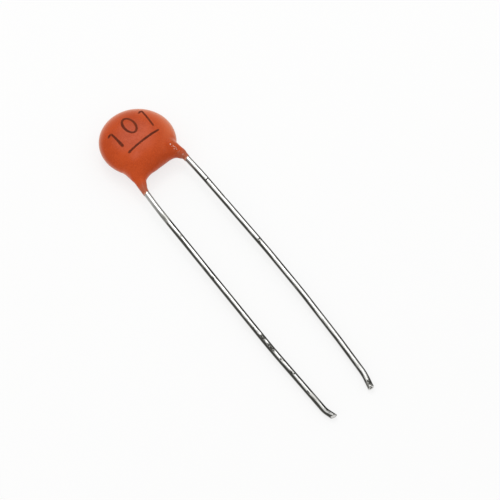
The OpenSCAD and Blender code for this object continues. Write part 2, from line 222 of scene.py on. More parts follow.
def sleeve_form(p, lead):
    """The thin end of a leg, which is a sleeve on the wire and ends in a slightly wavy edge."""
    root, end = lead["corners"][2], np.array((*lead["exit"], 0.0))
    end = end + LEG_RUN * (end - root) / np.linalg.norm(end - root)
    gap, _ = away_from(p, root, end)
    around = np.arctan2(p[..., 2], p[..., 0] - end[0])
    edge = end[1] + sum(tall * np.sin(count * around + start) for tall, count, start in EDGE_WAVES)
    return smooth_min((WIRE_R + LEG_COVER) ** 2 - gap, EDGE_SLOPE * (p[..., 1] - edge), EDGE_BLEND)


def coat_form(p):
    """The coating without its sleeves: above zero inside it, and zero on its surface."""
    plan = np.hypot(p[..., 0], p[..., 1])
    disc = COAT_Z ** 2 * (1 - (plan / COAT_R) ** CROWN)
    web = WEB_SLOPE * (p[..., 1] + COAT_R - WEB_INSET - p[..., 0] * DIP_SLANT)
    form = smooth_min(disc, web, WEB_BLEND) - p[..., 2] ** 2
    for name, lead in LEADS.items():
        form = smooth_max(form, leg_form(p, lead, FLARES[name]), FLARES[name][4])
    for lead in LEADS.values():
        form = smooth_max(form, lean_form(p, lead), LEAN_BLEND)
    return form


def whole_coat(p):
    form = coat_form(p)
    for lead in LEADS.values():
        form = smooth_max(form, sleeve_form(p, lead), LEG_BLEND)
    return form


def slope_of(form, p, f):
    return np.stack([(form(p + SLOPE_STEP * axis) - f) / SLOPE_STEP for axis in np.eye(3)], -1)


def skin_over(form, low, high, cell):
    """Points and quads over the surface where form is zero, found in a lattice of cells."""
    counts = np.ceil((np.array(high) - low) / cell).astype(int)
    marks = [low[a] + cell * np.arange(counts[a] + 1) for a in range(3)]
    value = form(np.stack(np.meshgrid(*marks, indexing="ij"), -1))
    inside = value > 0
    corners = [np.array(c) for c in np.ndindex(2, 2, 2)]
    held = sum(inside[tuple(slice(c, n + c) for c, n in zip(corner, counts))].astype(int)
               for corner in corners)
    cells = np.argwhere((held > 0) & (held < 8))
    number = np.full(counts, -1)
    number[tuple(cells.T)] = np.arange(len(cells))
    # Each cell's point is the middle of the places where the surface crosses the cell's edges
    total = np.zeros((len(cells), 3))
    found = np.zeros(len(cells))
    for a in corners:
        for b in corners:
            if tuple(b - a) in ((1, 0, 0), (0, 1, 0), (0, 0, 1)):
                va = value[tuple((cells + a).T)]
                vb = value[tuple((cells + b).T)]
                cut = (va > 0) != (vb > 0)
                share = np.where(cut, va / np.where(cut, va - vb, 1), 0)
                total += np.where(cut[:, None], a + share[:, None] * (b - a), 0)
                found += cut
    points = low + cell * (cells + total / found[:, None])
    for _ in range(SETTLING_ROUNDS):
        f = form(points)
        g = slope_of(form, points, f)
        points = points - g * (f / np.maximum((g * g).sum(-1), LEAST_SLOPE))[:, None]
    # Each edge that the surface crosses gets a quad between the points of the four cells round it
    quads = []
    step = np.eye(3, dtype=int)
    for axis in range(3):
        one_way, other_way = step[(axis + 1) % 3], step[(axis + 2) % 3]
        span = [slice(1, n) for n in counts]
        span[axis] = slice(0, counts[axis])
        beyond = list(span)
        beyond[axis] = slice(1, counts[axis] + 1)
        here = inside[tuple(span)]
        crossed = np.argwhere(here != inside[tuple(beyond)])
        outward = here[tuple(crossed.T)]
        at = crossed + 1
        at[:, axis] -= 1
        ring = [at - one_way - other_way, at - other_way, at, at - one_way]
        quad = np.stack([number[tuple(r.T)] for r in ring], -1)
        quads.append(np.where(outward[:, None], quad, quad[:, ::-1]))
    return points, np.concatenate(quads)


# --- Meshes ----------------------------------------------------------------------------------------------


def new_piece(name, points, faces, materials, face_materials=None, masks=None):
    """A smooth piece of the part, from points about the part's own axes."""
    mesh = bpy.data.meshes.new(name)
    mesh.from_pydata(at_rest(points).tolist(), [], [list(map(int, f)) for f in faces])
    for material in materials:
        mesh.materials.append(material)
    mesh.polygons.foreach_set("use_smooth", [True] * len(faces))
    if face_materials is not None:
        mesh.polygons.foreach_set("material_index", face_materials)
    for mask_name, values in (masks or {}).items():
        layer = mesh.attributes.new(mask_name, "FLOAT", "POINT")
        layer.data.foreach_set("value", np.asarray(values, np.float32))
    mesh.validate()
    mesh.update()
    piece = bpy.data.objects.new(name, mesh)
    bpy.context.scene.collection.objects.link(piece)
    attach(piece, "root")
    return piece


def along(path):
    """Distance along a path at each of its points."""
    return np.concatenate([[0], np.cumsum(np.linalg.norm(np.diff(path, axis=0), axis=1))])


def frames_along(path):
    """A path's direction at each point, and two directions square to it that turn as little as they may."""
    ahead = np.gradient(path, axis=0)
    ahead /= np.linalg.norm(ahead, axis=1)[:, None]
    up = np.array((0.0, 0, 1)) - ahead[0] * ahead[0][2]
    ups = []
    for d in ahead:
        up = up - d * (up @ d)
        up = up / np.linalg.norm(up)
        ups.append(up)
    ups = np.array(ups)
    return ahead, ups, np.cross(ahead, ups)


# --- Shader parts ----------------------------------------------------------------------------------------


def colour(code):
    """A colour for a shader from its screen code."""
    parts = [int(code[i:i + 2], 16) / 255 for i in (1, 3, 5)]
    return (*[c / 12.92 if c <= 0.04045 else ((c + 0.055) / 1.055) ** 2.4 for c in parts], 1)


def add(tree, kind, settings=None, **inputs):
    """A new node, with its settings and its sockets' values. A value may be another node's output."""
    made = tree.nodes.new(kind)
    for name, value in (settings or {}).items():
        setattr(made, name, value)
    for name, value in inputs.items():
        socket = made.inputs[int(name[1:])] if name[0] == "_" else made.inputs[name.replace("_", " ")]
        if isinstance(value, bpy.types.NodeSocket):
            tree.links.new(value, socket)
        else:
            socket.default_value = value
    return made


def maths(tree, operation, a, b):
    return add(tree, "ShaderNodeMath", {"operation": operation}, _0=a, _1=b).outputs[0]


def times(tree, a, b):
    return maths(tree, "MULTIPLY", a, b)


def swing(tree, value, wide):
    """A noise value turned into one that swings about zero."""
    return times(tree, maths(tree, "SUBTRACT", value, 0.5), wide)


def mixed(tree, share, a, b):
    """Colour a turning into colour b by share."""
    made = add(tree, "ShaderNodeMix", {"data_type": "RGBA"}, _0=share, _6=a, _7=b)
    return made.outputs[2]


def ranged(tree, value, low, high, to_low=0.0, to_high=1.0):
    """A value between low and high, brought softly to between to_low and to_high."""
    made = add(tree, "ShaderNodeMapRange", {"interpolation_type": "SMOOTHSTEP"},
               _0=value, _1=low, _2=high, _3=to_low, _4=to_high)
    return made.outputs[0]


def noise(tree, place, scale, detail):
    return add(tree, "ShaderNodeTexNoise", Vector=place, Scale=scale, Detail=detail).outputs[0]


def mask(tree, name):
    return add(tree, "ShaderNodeAttribute", {"attribute_name": name}).outputs["Fac"]


def facing(tree, normal, way):
    """How far the surface faces a direction."""
    made = add(tree, "ShaderNodeVectorMath", {"operation": "DOT_PRODUCT"}, _0=normal, _1=way)
    return made.outputs["Value"]


def split(tree, vector):
    """The x, y and z of a vector."""
    return add(tree, "ShaderNodeSeparateXYZ", _0=vector).outputs


def new_group(name, inputs, outputs):
    group = bpy.data.node_groups.new(name, "ShaderNodeTree")
    for label, kind, value in inputs:
        socket = group.interface.new_socket(label, in_out="INPUT", socket_type=kind)
        socket.default_value = value
    for label, kind in outputs:
        group.interface.new_socket(label, in_out="OUTPUT", socket_type=kind)
    return group, group.nodes.new("NodeGroupInput").outputs, group.nodes.new("NodeGroupOutput").inputs


def use_group(tree, group, **values):
    """The outputs of a node that runs a group, with the values of the group's inputs."""
    made = tree.nodes.new("ShaderNodeGroup")
    made.node_tree = group
    for label, value in values.items():
        made.inputs[label.replace("_", " ")].default_value = value
    return made.outputs


def cloudy_group():
    """Two tones that drift into each other over the surface, with a finer mottle on top."""
    grey = (0.5, 0.5, 0.5, 1)
    group, given, out = new_group(
        "cloudy_tone",
        [("Tone A", "NodeSocketColor", grey), ("Tone B", "NodeSocketColor", grey),
         ("Drift Scale", "NodeSocketFloat", 500), ("Mottle Scale", "NodeSocketFloat", 5000),
         ("Mottle", "NodeSocketFloat", 0.3)],
        [("Colour", "NodeSocketColor"), ("Height", "NodeSocketFloat"), ("Share", "NodeSocketFloat")])
    place = add(group, "ShaderNodeTexCoord").outputs["Object"]
    drift = noise(group, place, given["Drift Scale"], 3)
    mottle = noise(group, place, given["Mottle Scale"], 2)
    share = ranged(group, maths(group, "ADD", drift, swing(group, mottle, given["Mottle"])), 0.3, 0.7)
    group.links.new(mixed(group, share, given["Tone A"], given["Tone B"]), out["Colour"])
    group.links.new(mottle, out["Height"])
    group.links.new(share, out["Share"])
    return group


def drawn_group():
    """Fine drawn scratches that run along the wire, and scattered small marks."""
    group, given, out = new_group(
        "drawn_marks",
        [("Scratch Scale", "NodeSocketFloat", 9000), ("Mark Scale", "NodeSocketFloat", 900),
         ("Wander Scale", "NodeSocketFloat", 7000)],
        [("Height", "NodeSocketFloat"), ("Marks", "NodeSocketFloat"), ("Wander", "NodeSocketFloat")])
    place = add(group, "ShaderNodeTexCoord").outputs["Object"]
    long_way = add(group, "ShaderNodeMapping", Vector=place, Scale=(1, 0.06, 1)).outputs[0]
    blotches = noise(group, place, given["Mark Scale"], 5)
    group.links.new(noise(group, long_way, given["Scratch Scale"], 3), out["Height"])
    group.links.new(ranged(group, blotches, 0.58, 0.72), out["Marks"])
    group.links.new(noise(group, long_way, given["Wander Scale"], 3), out["Wander"])
    return group


CLOUDY = cloudy_group()
DRAWN = drawn_group()


def cloudy(tree, tone_a, tone_b, drift, mottle_scale, mottle):
    return use_group(tree, CLOUDY, Tone_A=colour(tone_a), Tone_B=colour(tone_b), Drift_Scale=drift,
                     Mottle_Scale=mottle_scale, Mottle=mottle)


def new_material(name, **values):
    """A material, its node tree and its main shader."""
    material = bpy.data.materials.new(name)
    material.use_nodes = True
    shader = material.node_tree.nodes["Principled BSDF"]
    for label, value in values.items():
        shader.inputs[label.replace("_", " ")].default_value = value
    return material, material.node_tree, shader


def bumped(tree, height, depth, under=None):
    """A normal from a height, depth millimetres deep, on top of the normal under."""
    made = add(tree, "ShaderNodeBump", Height=height, Distance=depth * MM, Strength=1)
    if under is not None:
        tree.links.new(under, made.inputs["Normal"])
    return made.outputs[0]


def finish(tree, shader, **looks):
    """Links each look to the shader's socket of that name."""
    for label, look in looks.items():
        tree.links.new(look, shader.inputs[label.replace("_", " ")])


# --- Materials -------------------------------------------------------------------------------------------

# The way that the coating's painted lighter side faces (painted light), and the way that the wires' painted
# bright stripe faces (painted reflection)
PAINTED_LIGHT_SIDE = (0.98, -0.2, 0)
PAINTED_STRIPE_SIDE = (-0.148, 0, 0.989)


def dipped_coating():
    """Orange dip coating, with a soft shine, a painted lighter side, painted sheen towards its outline and
    painted glints on its front leg, and so thin at the ends of its legs that the metal shows.
    """
    material, tree, shader = new_material("dipped_orange", Specular_IOR_Level=0.19)
    where = add(tree, "ShaderNodeTexCoord").outputs
    place, normal = where["Object"], where["Normal"]
    tone = cloudy(tree, "#c44b16", "#b6410b", drift=420, mottle_scale=8000, mottle=0.9)
    dome = mask(tree, "dome")
    run = mask(tree, "run")
    # Painted light: the side of the dome that faces one way is painted paler, as if lit from there
    painted_lighter_side = times(tree, ranged(tree, facing(tree, normal, PAINTED_LIGHT_SIDE), 0.05, 0.55, 0.0, 0.6), dome)
    paint = mixed(tree, painted_lighter_side, tone["Colour"], colour("#dc7044"))
    # Painted sheen: a pale painted reflection towards the outline, weaker on the underside and on the legs
    edge = add(tree, "ShaderNodeLayerWeight", Blend=0.5).outputs["Facing"]
    upper = ranged(tree, split(tree, normal)[2], -0.6, 0.2, 0.15, 1)
    painted_rim_sheen = times(tree, ranged(tree, edge, 0.26, 1.0, 0.0, 0.8), upper)
    painted_rim_sheen = times(tree, painted_rim_sheen, ranged(tree, dome, 0, 1, 0.3, 1))
    paint = mixed(tree, painted_rim_sheen, paint, colour("#e0a184"))
    # Stains along the wires, painted glints on the front leg, and thin, dull coating at the legs' ends
    stains = times(tree, ranged(tree, noise(tree, place, 2600, 3), 0.48, 0.62, 0.0, 0.7), run)
    paint = mixed(tree, stains, paint, colour("#96400f"))
    # Painted glints: pale specks along the crest of the front leg
    painted_glints = times(tree, ranged(tree, noise(tree, place, 9000, 1), 0.6, 0.7), mask(tree, "crest"))
    paint = mixed(tree, painted_glints, paint, colour("#e8cfc4"))
    dull = times(tree, ranged(tree, mask(tree, "skimpy"), 0.1, 1), 0.75)
    paint = mixed(tree, dull, paint, colour("#a65d45"))
    broken = maths(tree, "ADD", mask(tree, "thin"), swing(tree, tone["Height"], 0.8))
    paint = mixed(tree, ranged(tree, broken, 0.35, 0.95), paint, colour("#c48a72"))
    # Slow waves, a fine grain, and ridges along the wires
    bumps = bumped(tree, noise(tree, place, 520, 1), 0.03)
    bumps = bumped(tree, tone["Height"], 0.002, bumps)
    bumps = bumped(tree, times(tree, noise(tree, place, 4200, 3), run), 0.05, bumps)
    rough = ranged(tree, tone["Height"], 0.2, 0.8, 0.27, 0.37)
    finish(tree, shader, Base_Color=paint, Roughness=rough, Normal=bumps)
    return material


def stamped_ink():
    material, tree, shader = new_material("stamped_ink", Roughness=0.6, Specular_IOR_Level=0.1)
    tone = cloudy(tree, "#5a2210", "#702d15", drift=1500, mottle_scale=14000, mottle=0.8)
    ink = mixed(tree, mask(tree, "faint"), tone["Colour"], colour("#96401f"))
    finish(tree, shader, Base_Color=ink, Normal=bumped(tree, tone["Height"], 0.004))
    return material


def tinned_wire():
    """Bright tin over the wire, with drawn lines, dull marks and scuffs, and a painted reflection: painted
    dark round its sides and underside, away from the bright stripe on top.
    """
    material, tree, shader = new_material("tinned_wire", Metallic=1.0)
    normal = add(tree, "ShaderNodeTexCoord").outputs["Normal"]
    across = split(tree, normal)
    tone = cloudy(tree, "#e4e4e1", "#d2d2ce", drift=900, mottle_scale=12000, mottle=0.5)
    grain = use_group(tree, DRAWN, Scratch_Scale=9000, Mark_Scale=900, Wander_Scale=7000)
    # Painted reflection: the sides are painted dark where the wire turns away from its painted bright
    # stripe, along a wandering line, and less dark where it faces down
    bright = maths(tree, "ADD", facing(tree, normal, PAINTED_STRIPE_SIDE), swing(tree, grain["Wander"], 0.3))
    bright = maths(tree, "ADD", bright, mask(tree, "shine"))
    painted_dark_share = times(tree, ranged(tree, bright, 0.93, 0.84), mask(tree, "painted_band_strength"))
    painted_dark_share = times(tree, painted_dark_share, ranged(tree, across[2], -0.05, 0.2, 0.25, 1))
    # Painted shade: the painted dark is darker on the side that faces +X
    dull = mixed(tree, ranged(tree, across[0], -0.3, 0.3), colour("#454541"), colour("#1e1e1c"))
    tin = mixed(tree, painted_dark_share, tone["Colour"], dull)
    # Grey scuffs, and dark marks that break up into crumbs
    scuff = maths(tree, "MAXIMUM", mask(tree, "scuff"), times(tree, grain["Marks"], 0.35))
    scraped = mixed(tree, ranged(tree, grain["Height"], 0.4, 0.6), colour("#7c7b76"), colour("#bfbeb9"))
    tin = mixed(tree, scuff, tin, scraped)
    crumbs = maths(tree, "ADD", mask(tree, "mark"), swing(tree, tone["Height"], 1.6))
    tin = mixed(tree, ranged(tree, crumbs, 0.35, 0.75), tin, colour("#3b3b37"))
    rough = ranged(tree, scuff, 0, 1, 0.2, 0.42)
    finish(tree, shader, Base_Color=tin, Roughness=rough, Normal=bumped(tree, grain["Height"], 0.004))
    return material


def cut_end():
    """The cut end of a wire, bright or dark from ring to ring."""
    material, tree, shader = new_material("cut_wire_end", Metallic=1.0)
    tone = cloudy(tree, "#e9e8e5", "#d2d1cd", drift=3000, mottle_scale=14000, mottle=0.8)
    core = mixed(tree, ranged(tree, mask(tree, "core"), 0.2, 0.8), tone["Colour"], colour("#55534e"))
    rough = ranged(tree, tone["Height"], 0, 1, 0.3, 0.5)
    finish(tree, shader, Base_Color=core, Roughness=rough, Normal=bumped(tree, tone["Height"], 0.01))
    return material


def plain_finish(name, tone_a, tone_b, rough, depth, drift, mottle_scale, metallic=0.0):
    """The finish of a piece that the coating hides."""
    material, tree, shader = new_material(name, Metallic=metallic)
    tone = cloudy(tree, tone_a, tone_b, drift=drift, mottle_scale=mottle_scale, mottle=0.6)
    rough = ranged(tree, tone["Share"], 0, 1, rough - 0.06, rough + 0.06)
    finish(tree, shader, Base_Color=tone["Colour"], Roughness=rough,
           Normal=bumped(tree, tone["Height"], depth))
    return material


# --- Coating ---------------------------------------------------------------------------------------------

SKIN_CELL = 0.065
# Room round the coating in the lattice that its skin is found in
AROUND = 0.5
# How far the bare end of each leg reaches up it, and how far the dull end does
THIN_REACH = {"front": 0.12, "rear": 0.14}
SKIMPY_REACH = {"front": 0.8, "rear": 1.0}
# Ridges along each wire: strongest up to RUN_FULL from its middle line, and fading out over RUN_REACH
RUN_FULL = 0.135
RUN_REACH = 0.45
# Painted glints: pale specks lie along a line down the front leg
CREST = (np.array((1.85, -2.35)), np.array((2.5, -3.85)))
CREST_REACH = 0.15
# The dome, where the painted lighter side and the painted sheen show, ends where the legs begin, and leaves
# out the crease where the front leg comes off it
DOME_END = -2.9
DOME_FADE = 0.8
CREASE = (2.5, -2.0, 0.65)
CREASE_REACH = 0.5
CREASE_DEPTH = 0.9


def coating_masks(skin):
    """How strongly each look of the coating shows, at each point of its skin."""
    masks = {look: np.zeros(len(skin)) for look in ("thin", "skimpy", "run")}
    for name, lead in LEADS.items():
        own = np.sign(skin[:, 0]) == lead["side"]
        above = np.maximum(0, skin[:, 1] - lead["exit"][1] + LEG_RUN)
        gap, _ = away_from(skin, lead["corners"][1], np.array((*lead["exit"], 0.0)))
        run = np.clip(1 + (RUN_FULL - np.sqrt(gap)) / RUN_REACH, 0, 1)
        for look, value in (("thin", np.exp(-above / THIN_REACH[name])),
                            ("skimpy", np.exp(-(above / SKIMPY_REACH[name]) ** 2)), ("run", run)):
            masks[look] = np.maximum(masks[look], own * value)
    gap, _ = away_from(skin[:, :2], *CREST)
    masks["crest"] = np.exp(-(np.sqrt(gap) / CREST_REACH) ** 2) * (skin[:, 2] > 0)
    crease = np.exp(-(np.linalg.norm(skin - CREASE, axis=1) / CREASE_REACH) ** 2)
    masks["dome"] = np.clip((skin[:, 1] - DOME_END) / DOME_FADE, 0, 1) * (1 - CREASE_DEPTH * crease)
    return masks


low = np.array((-COAT_R - AROUND, LEADS["rear"]["exit"][1] - AROUND, -COAT_Z - AROUND))
high = (COAT_R + AROUND, COAT_R + AROUND, COAT_Z + AROUND)
skin, quads = skin_over(whole_coat, low, high, SKIN_CELL)
coating = new_piece("dipped_coating", skin, quads, [dipped_coating()], masks=coating_masks(skin))
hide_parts("coating")

# --- Leads -----------------------------------------------------------------------------------------------

# Points round a wire, and the step between its rings
RING = 40
LEAD_STEP = 0.06
# How far from the tip the rings begin to turn into the slant of the cut, and how deep the cut end dips
SLANT_REACH = 0.6
END_SINK = 0.02
# The rings of a cut end, as shares of its size, with how deep each lies, and how dark each end is there
END_RINGS = ((0.88, -0.2), (0.66, 0.6), (0.3, 1))
END_DARK = {"front": (0, 0.15, 1.0), "rear": (1.0, 0.1, 0)}
# The dark rim of the wire at its cut end
RIM_WIDTH = 0.06
RIM_DARK = 1.2
# Next to the coating the painted dark sides of each wire are weaker: over what length, and the share of
# them that is left
PAINTED_BAND_FADE = {"front": (1.5, 0.7), "rear": (2.9, 0.5)}
# How much the painted bright stripe of each wire is widened, or narrowed below zero
PAINTED_STRIPE_WIDENING = {"front": -0.015, "rear": -0.05}
# Marks on each wire: distance from the coating, half length, the way round the wire in degrees from its
# top towards +X, half width in degrees, and how strong. Scuffs are grey.
SCUFFS = {
    "front": [(0.5, 0.5, 30, 30, 0.5), (3.35, 0.2, -30, 12, 0.7), (5.5, 0.35, 8, 9, 0.7),
              (11.15, 0.2, -15, 16, 0.8), (12.3, 0.25, 12, 10, 0.7), (13.0, 0.3, 12, 10, 0.8),
              (20.7, 0.2, -30, 10, 0.8), (27.9, 0.3, 0, 90, 0.5)],
    "rear": [(3.3, 0.55, 0, 180, 0.85), (5.6, 0.35, -5, 20, 0.7), (10.2, 0.12, -32, 8, 0.6),
             (11.1, 0.3, 5, 15, 0.6), (18.1, 0.4, -10, 30, 0.7), (19.3, 0.5, -10, 30, 0.8),
             (20.8, 0.25, -10, 20, 0.7), (22.3, 0.25, -10, 20, 0.6), (25.2, 0.55, -5, 25, 0.9),
             (26.9, 0.5, -8, 6, 0.8)],
}
DARK_MARKS = {
    "front": [(3.2, 0.09, -15, 30, 1.0), (5.5, 0.33, 17, 9, 0.9), (10.92, 0.08, -5, 30, 1.1),
              (11.2, 0.15, -32, 10, 0.9), (17.5, 0.35, 18, 7, 0.8), (24.5, 0.8, 17, 5, 0.7),
              (27.8, 0.34, 5, 45, 0.9)],
    "rear": [(4.45, 0.07, 5, 10, 0.7), (5.1, 0.2, 12, 14, 0.9), (5.75, 0.1, -10, 10, 0.7),
             (10.85, 0.22, -33, 12, 1.0), (11.1, 0.08, 0, 18, 0.6), (16.87, 0.1, -30, 10, 0.9),
             (18.05, 0.36, -8, 45, 0.78), (18.75, 0.1, -25, 12, 0.7), (19.25, 0.55, -8, 42, 0.8),
             (20.65, 0.12, -20, 16, 0.8), (20.95, 0.08, 5, 14, 0.7), (22.2, 0.18, -28, 14, 0.9),
             (22.45, 0.12, -5, 15, 0.7), (24.5, 0.2, -30, 12, 0.8), (26.9, 0.45, -10, 4, 0.8)],
}
# Nicks: distance from the coating, the way round, length along the wire, and depth
NICKS = {
    "front": [(2.95, -35, 0.1, 0.02), (5.6, 45, 0.2, 0.02), (11.15, 0, 0.07, 0.02),
              (11.15, 60, 0.07, 0.02), (11.15, -60, 0.07, 0.02)],
    "rear": [(3.0, -60, 0.4, 0.015), (17.5, -30, 0.2, 0.03), (18.4, -50, 0.2, 0.03),
             (22.2, -40, 0.2, 0.02)],
}
NICK_WIDTH = 28


def spots(marks, out, round_way):
    """How strongly marks lie at each point of a wire."""
    total = np.zeros(np.broadcast(out, round_way).shape)
    for at, length, way, wide, strength in marks:
        spot = strength * np.exp(-((out - at) / length) ** 4 - ((round_way - way) / wide) ** 4)
        total = np.maximum(total, spot)
    return total


def nicked(nicks, out, round_way):
    """How deep the nicks are at each point of a wire."""
    return sum(deep * np.exp(-((out - at) / length) ** 2 - ((round_way - way) / NICK_WIDTH) ** 2)
               for at, way, length, deep in nicks)


def slanted(rings, to_tip, tip, ahead, cut):
    """A wire's rings, moved along it near the tip so that the last one lies in the slanted cut."""
    way = math.radians(cut)
    square = np.array((ahead[0] * math.cos(way) - ahead[1] * math.sin(way),
                       ahead[0] * math.sin(way) + ahead[1] * math.cos(way), 0))
    near = np.clip(1 - to_tip / SLANT_REACH, 0, 1)
    slide = -((rings[-1] - tip) @ square) / (ahead @ square)
    return rings + near[:, None, None] * slide[None, :, None] * ahead


def end_face(ring, first, count, centre, outward, sink, turned):
    """The points and faces that close a wire's ring, whose own points are numbered from first.
    The new points are numbered from count."""
    points, faces = [], []
    for share, deep in END_RINGS:
        points.append(centre + (ring - centre) * share - outward * sink * deep)
        for j in range(RING):
            k = (j + 1) % RING
            faces.append((first + k, first + j, count + j, count + k))
        first = count
        count += RING
    faces.append(tuple(range(count - 1, first - 1, -1)))
    if turned:
        faces = [face[::-1] for face in faces]
    return points, faces


def lead_mesh(name, lead):
    """The wire from its end on the electrode to its cut tip."""
    path = rounded_path(lead["corners"], lead["radii"], LEAD_STEP)
    s = along(path)
    exit_at = s[np.argmin(np.linalg.norm(path - (*lead["exit"], 0), axis=1))]
    ahead, ups, sides = frames_along(path)
    turn = np.arange(RING) * 2 * math.pi / RING
    radial = ups[:, None] * np.cos(turn)[:, None] + sides[:, None] * -np.sin(turn)[:, None]
    out = s[:, None] - exit_at
    to_tip = s[-1] - s
    round_way = np.degrees((turn + math.pi) % (2 * math.pi) - math.pi)[None]
    rings = path[:, None] + radial * (WIRE_R - nicked(NICKS[name], out, round_way))[..., None]
    rings = slanted(rings, to_tip, path[-1], ahead[-1], lead["cut"])
    side_faces = [(i * RING + k, i * RING + j, (i + 1) * RING + j, (i + 1) * RING + k)
                  for i in range(len(path) - 1) for j, k in zip(range(RING), [*range(1, RING), 0])]
    count = len(path) * RING
    tip_points, tip_faces = end_face(rings[-1], count - RING, count, path[-1], ahead[-1], END_SINK, False)
    count += RING * len(END_RINGS)
    seat_points, seat_faces = end_face(rings[0], 0, count, path[0], ahead[0], 0, True)
    points = np.concatenate([rings.reshape(-1, 3), *tip_points, *seat_points])
    faces = side_faces + tip_faces + seat_faces
    materials = [0] * len(side_faces) + [1] * len(tip_faces + seat_faces)

    scuff = spots(SCUFFS[name], out, round_way)
    rim = RIM_DARK * np.exp(-(to_tip / RIM_WIDTH) ** 2)[:, None]
    mark = np.maximum(spots(DARK_MARKS[name], out, round_way), rim)
    reach, least = PAINTED_BAND_FADE[name]
    # How strongly the painted dark sides show along the wire, weaker next to the coating
    painted_band_strength = 1 - (1 - least) * np.exp(-(np.maximum(0, out[:, 0]) / reach) ** 4)
    on_ends = np.zeros(len(points) - rings[..., 0].size)
    masks = {"scuff": np.concatenate([scuff.ravel(), on_ends]),
             "mark": np.concatenate([mark.ravel(), on_ends]),
             "shine": np.concatenate([np.full(scuff.size, PAINTED_STRIPE_WIDENING[name]), on_ends]),
             "painted_band_strength": np.concatenate([np.repeat(painted_band_strength, RING), on_ends + 1]),
             "core": np.concatenate([np.zeros(scuff.size), np.tile(np.repeat(END_DARK[name], RING), 2)])}
    return points, faces, materials, masks


wire_finish = tinned_wire()
end_finish = cut_end()
for name, lead in LEADS.items():
    points, faces, face_materials, masks = lead_mesh(name, lead)
    wire = new_piece(name + "_wire", points, faces, [wire_finish, end_finish], face_materials, masks)
    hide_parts(name + "_lead")

# --- Stamped mark ----------------------------------------------------------------------------------------

# Thickness of the ink over the coating, and how far its edges and its underside reach into it
INK_T = 0.016
SUNK = 0.012
UNDERSIDE = 0.014
STROKE = 0.24
# Points across a stroke, and the step along it
ACROSS = 8
INK_STEP = 0.035
DIGIT_H = 2.0
ZERO_W = 1.05
ZERO_POINTS = 72
LINE_POINTS = 30
# The flag of a one: where it ends from the apex, its bend as shares of that, and its widths
FLAG = np.array((-0.45, -0.2))
FLAG_BEND = (0.45, 0.3)
FLAG_WIDTH = (0.9, 0.95, 1.0)
# How far the stem of a one starts above its apex
STEM_START = 0.02
# A stroke's ends: how wide, how faint, and over what length
END_WIDTH = 0.55
END_FAINT = 0.5
END_REACH = 0.12
# How ragged the edges are, how faint the edges and patches are, and over how many steps both change
RAGGED = 0.1
RAGGED_STEPS = 4
EDGE_FAINT = 0.5
PATCH_FAINT = 0.25
PATCH_STEPS = 6
chance = np.random.default_rng(7)


def smooth_noise(n, every):
    """n values between -1 and 1 that change over about every steps."""
    knots = chance.uniform(-1, 1, n // every + 3)
    at = np.arange(n) / every
    i = at.astype(int)
    t = at - i
    t = t * t * (3 - 2 * t)
    return knots[i] * (1 - t) + knots[i + 1] * t


def spaced(path):
    """A path in plan with its points INK_STEP apart."""
    path = np.asarray(path, float)
    s = along(path)
    t = np.linspace(0, s[-1], max(3, round(s[-1] / INK_STEP)))
    return np.stack([np.interp(t, s, path[:, a]) for a in range(2)], -1)


def ink_stroke(path, width, closed):
    """A stroke of ink that lies on the coating: its points, faces and how faint it is."""
    n = len(path)
    ahead = np.roll(path, -1, 0) - np.roll(path, 1, 0) if closed else np.gradient(path, axis=0)
    ahead /= np.linalg.norm(ahead, axis=1)[:, None]
    side = np.stack([-ahead[:, 1], ahead[:, 0]], -1)
    share = np.arange(n) / (n - 1)
    from_end = np.minimum(share, 1 - share) * along(path)[-1]
    taper = END_WIDTH + (1 - END_WIDTH) * np.clip(from_end / END_REACH, 0, 1) ** 0.5
    widths = np.interp(share, np.linspace(0, 1, len(width)), width) * STROKE * (1 if closed else taper)
    left = widths / 2 * (1 + RAGGED * smooth_noise(n, RAGGED_STEPS))
    right = widths / 2 * (1 + RAGGED * smooth_noise(n, RAGGED_STEPS))
    cols = np.linspace(-1, 1, ACROSS + 1)
    reach = np.where(cols < 0, left[:, None], right[:, None]) * cols
    plan = path[:, None] + side[:, None] * reach[..., None]
    z = np.sqrt(coat_form(np.concatenate([plan, np.zeros_like(plan[..., :1])], -1)))
    dome = INK_T * np.sqrt(np.clip(1 - cols ** 6, 0, 1))
    top = np.concatenate([plan, (z + dome - (cols ** 2 == 1) * SUNK)[..., None]], -1)
    bottom = np.concatenate([plan, (z - UNDERSIDE)[..., None]], -1)
    points = np.concatenate([top, bottom[:, ::-1]], 1)
    m = points.shape[1]
    faces = []
    for i in range(n if closed else n - 1):
        j = (i + 1) % n
        faces += [(i * m + k, j * m + k, j * m + (k + 1) % m, i * m + (k + 1) % m) for k in range(m)]
    if not closed:
        faces.append(tuple(range(m)))
        faces.append(tuple((n - 1) * m + k for k in range(m - 1, -1, -1)))
    faint = np.zeros(n) if closed else END_FAINT * np.exp(-(from_end / END_REACH) ** 2)
    faint = faint + PATCH_FAINT * np.clip(smooth_noise(n, PATCH_STEPS), 0, 1)
    edges = np.concatenate([cols, cols[::-1]]) ** 4 * EDGE_FAINT
    return points.reshape(-1, 3), faces, (faint[:, None] + edges).ravel()


def one(foot, lean, share, width):
    """A one with a flag: down from its apex to its foot, and out to the flag. Its height is a share of
    the digits' height."""
    foot = np.array(foot)
    apex = foot + share * DIGIT_H * np.array((lean, 1))
    flag = spaced([apex + FLAG, apex + FLAG * FLAG_BEND, apex])
    stem = spaced([apex + (0, STEM_START), foot])
    return [(flag, FLAG_WIDTH, False), (stem, width, False)]


def zero(foot, width):
    tall = DIGIT_H - STROKE
    turn = np.arange(ZERO_POINTS) * 2 * math.pi / ZERO_POINTS
    x = foot[0] + ZERO_W / 2 * np.cos(turn)
    y = foot[1] + STROKE / 2 + tall / 2 * (1 + np.sin(turn))
    return [(np.stack([x, y], -1), width, True)]


